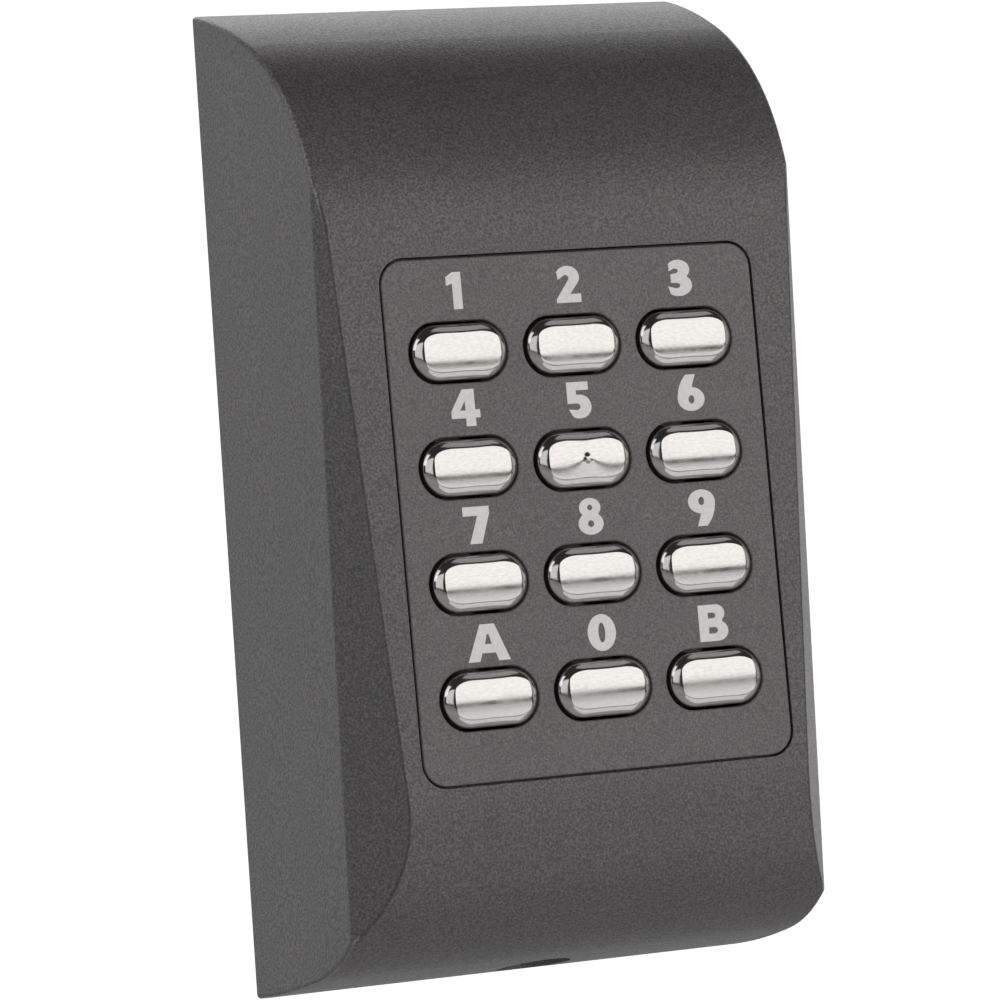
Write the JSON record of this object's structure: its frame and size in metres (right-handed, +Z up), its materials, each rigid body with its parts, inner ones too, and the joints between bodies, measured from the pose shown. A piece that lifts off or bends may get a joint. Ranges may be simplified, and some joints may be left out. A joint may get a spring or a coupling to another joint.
{
  "type": "keypad rfid card reader",
  "caption": "Wall-mounted access reader in a charcoal wedge-shaped housing with rolled ends, a let-in keypad panel and round-ended metal keys.",
  "frame": {"origin": "centre of the footprint on the wall, on the rear face of the back plate", "axes": "+Z up, +Y into the wall, the keypad faces -Y, +X to the right as seen from the front"},
  "size_m": [0.051, 0.0257, 0.092],
  "materials": {
    "cover_plastic": "fine spark-eroded texture, charcoal",
    "panel_plastic": "fine texture, charcoal, a little smoother",
    "plate_plastic": "moulded, plain",
    "key_metal": "satin",
    "contact_carbon": "matte",
    "silicone": "matte",
    "circuit_board": "solder mask",
    "copper_wire": "enamelled copper",
    "chip_black": "moulded epoxy",
    "can_metal": "drawn can",
    "part_black": "moulded",
    "terminal_green": "moulded",
    "plunger_red": "moulded",
    "screw_steel": "zinc plated",
    "gasket_foam": "closed-cell foam",
    "grommet_rubber": "matte",
    "insert_brass": "turned"
  },
  "bodies": {
    "reader": {"front_cover": "cover_plastic", "keypad_panel": "panel_plastic", "keypad_mat": "silicone", "main_board": "circuit_board", "antenna_coil": "copper_wire", "controller_chip": "chip_black", "reader_chip": "chip_black", "voltage_regulator": "chip_black", "crystal": "can_metal", "capacitors": "can_metal", "resistors": "chip_black", "buzzer": "part_black", "cable_terminal": "terminal_green", "terminal_screws": "screw_steel", "tamper_switch": "part_black", "board_screws": "screw_steel", "back_plate": "plate_plastic", "wall_gasket": "gasket_foam", "cable_grommet": "grommet_rubber", "screw_insert": "insert_brass", "locking_screw": "screw_steel"},
    "button_1": {"key_1": "key_metal", "contact_pill_1": "contact_carbon"},
    "button_2": {"key_2": "key_metal", "contact_pill_2": "contact_carbon"},
    "button_3": {"key_3": "key_metal", "contact_pill_3": "contact_carbon"},
    "button_4": {"key_4": "key_metal", "contact_pill_4": "contact_carbon"},
    "button_5": {"key_5": "key_metal", "contact_pill_5": "contact_carbon"},
    "button_6": {"key_6": "key_metal", "contact_pill_6": "contact_carbon"},
    "button_7": {"key_7": "key_metal", "contact_pill_7": "contact_carbon"},
    "button_8": {"key_8": "key_metal", "contact_pill_8": "contact_carbon"},
    "button_9": {"key_9": "key_metal", "contact_pill_9": "contact_carbon"},
    "button_a": {"key_a": "key_metal", "contact_pill_a": "contact_carbon"},
    "button_0": {"key_0": "key_metal", "contact_pill_0": "contact_carbon"},
    "button_b": {"key_b": "key_metal", "contact_pill_b": "contact_carbon"},
    "plunger": {"tamper_plunger": "plunger_red"}
  },
  "joints": [
    {"name": "press_1", "type": "slide", "parent": "reader", "child": "button_1", "axis": [0, 0.9986, -0.0523], "range_m": [0, 0.0008], "stiffness_N_per_m": 400, "springref_m": -0.0005, "deforming": ["keypad_mat"]},
    {"name": "press_2", "type": "slide", "parent": "reader", "child": "button_2", "axis": [0, 0.9986, -0.0523], "range_m": [0, 0.0008], "stiffness_N_per_m": 400, "springref_m": -0.0005, "deforming": ["keypad_mat"]},
    {"name": "press_3", "type": "slide", "parent": "reader", "child": "button_3", "axis": [0, 0.9986, -0.0523], "range_m": [0, 0.0008], "stiffness_N_per_m": 400, "springref_m": -0.0005, "deforming": ["keypad_mat"]},
    {"name": "press_4", "type": "slide", "parent": "reader", "child": "button_4", "axis": [0, 0.9986, -0.0523], "range_m": [0, 0.0008], "stiffness_N_per_m": 400, "springref_m": -0.0005, "deforming": ["keypad_mat"]},
    {"name": "press_5", "type": "slide", "parent": "reader", "child": "button_5", "axis": [0, 0.9986, -0.0523], "range_m": [0, 0.0008], "stiffness_N_per_m": 400, "springref_m": -0.0005, "deforming": ["keypad_mat"]},
    {"name": "press_6", "type": "slide", "parent": "reader", "child": "button_6", "axis": [0, 0.9986, -0.0523], "range_m": [0, 0.0008], "stiffness_N_per_m": 400, "springref_m": -0.0005, "deforming": ["keypad_mat"]},
    {"name": "press_7", "type": "slide", "parent": "reader", "child": "button_7", "axis": [0, 0.9986, -0.0523], "range_m": [0, 0.0008], "stiffness_N_per_m": 400, "springref_m": -0.0005, "deforming": ["keypad_mat"]},
    {"name": "press_8", "type": "slide", "parent": "reader", "child": "button_8", "axis": [0, 0.9986, -0.0523], "range_m": [0, 0.0008], "stiffness_N_per_m": 400, "springref_m": -0.0005, "deforming": ["keypad_mat"]},
    {"name": "press_9", "type": "slide", "parent": "reader", "child": "button_9", "axis": [0, 0.9986, -0.0523], "range_m": [0, 0.0008], "stiffness_N_per_m": 400, "springref_m": -0.0005, "deforming": ["keypad_mat"]},
    {"name": "press_a", "type": "slide", "parent": "reader", "child": "button_a", "axis": [0, 0.9986, -0.0523], "range_m": [0, 0.0008], "stiffness_N_per_m": 400, "springref_m": -0.0005, "deforming": ["keypad_mat"]},
    {"name": "press_0", "type": "slide", "parent": "reader", "child": "button_0", "axis": [0, 0.9986, -0.0523], "range_m": [0, 0.0008], "stiffness_N_per_m": 400, "springref_m": -0.0005, "deforming": ["keypad_mat"]},
    {"name": "press_b", "type": "slide", "parent": "reader", "child": "button_b", "axis": [0, 0.9986, -0.0523], "range_m": [0, 0.0008], "stiffness_N_per_m": 400, "springref_m": -0.0005, "deforming": ["keypad_mat"]},
    {"name": "tamper_press", "type": "slide", "parent": "reader", "child": "plunger", "axis": [0, -0.9986, 0.0523], "range_m": [0, 0.0004], "stiffness_N_per_m": 300, "springref_m": -0.002}
  ]
}
